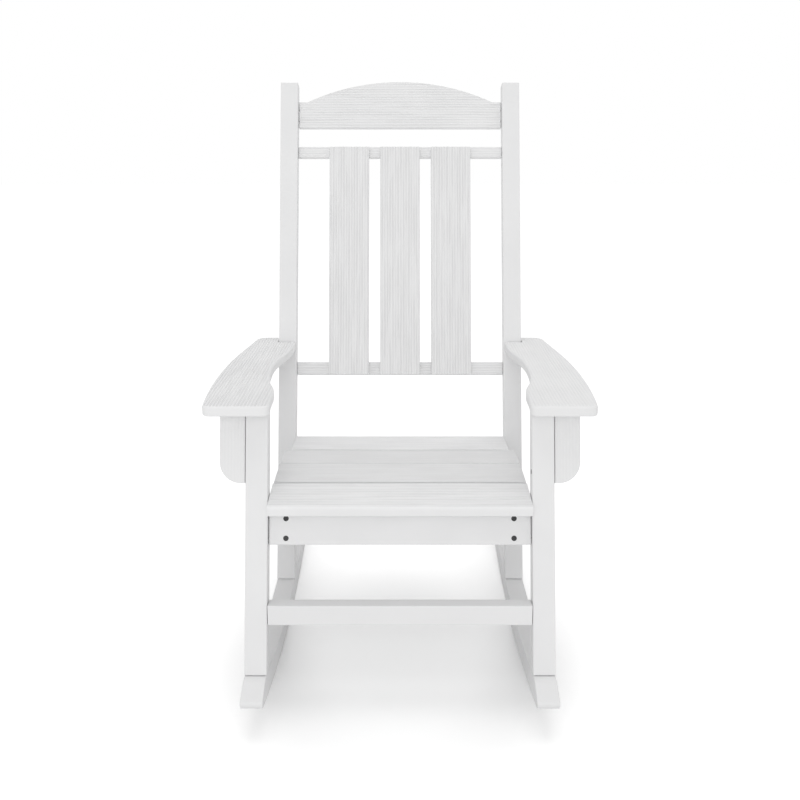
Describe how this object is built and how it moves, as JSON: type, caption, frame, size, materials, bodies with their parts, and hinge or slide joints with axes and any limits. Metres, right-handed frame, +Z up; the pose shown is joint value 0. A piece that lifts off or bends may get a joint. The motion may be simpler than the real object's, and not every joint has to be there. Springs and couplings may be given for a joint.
{
  "type": "rocking adirondack chair",
  "caption": "Outdoor rocking chair of white plastic lumber with a contoured slatted seat, a reclined slatted back under an arched crest, broad shaped arms and curved rockers.",
  "frame": {"origin": "centre of the bounding box, on the floor plane where the rockers touch", "axes": "+Z up, -Y towards the front of the chair, +X to the right as seen from the front, across the width"},
  "size_m": [0.7006, 0.9256, 1.0902],
  "materials": {
    "lumber": "white plastic lumber with an embossed wood grain, matt",
    "black_steel": "black coated steel screws and corner angles"
  },
  "bodies": {
    "root": {"rocker_left": "lumber", "rocker_right": "lumber", "front_leg_left": "lumber", "front_leg_right": "lumber", "back_post_left": "lumber", "back_post_right": "lumber", "arm_left": "lumber", "arm_right": "lumber", "arm_bracket_left": "lumber", "arm_bracket_right": "lumber", "seat_rail_left": "lumber", "seat_rail_right": "lumber", "seat_apron": "lumber", "front_stretcher": "lumber", "crest_rail": "lumber", "back_rail_low": "lumber", "back_rail_top": "lumber", "back_slat_left": "lumber", "back_slat_middle": "lumber", "back_slat_right": "lumber", "seat_slat_1": "lumber", "seat_slat_2": "lumber", "seat_slat_3": "lumber", "seat_slat_4": "lumber", "seat_slat_5": "lumber", "arm_angle_front_left": "black_steel", "arm_angle_front_right": "black_steel", "arm_angle_rear_left": "black_steel", "arm_angle_rear_right": "black_steel", "apron_screws": "black_steel", "apron_end_screws": "black_steel", "seat_slat_screws": "black_steel", "seat_rail_screws": "black_steel", "stretcher_screws": "black_steel", "leg_foot_screws": "black_steel", "post_foot_screws": "black_steel", "bracket_screws": "black_steel", "back_rail_screws": "black_steel", "crest_screws": "black_steel", "arm_angle_screws": "black_steel", "back_slat_screws": "black_steel"}
  },
  "joints": []
}
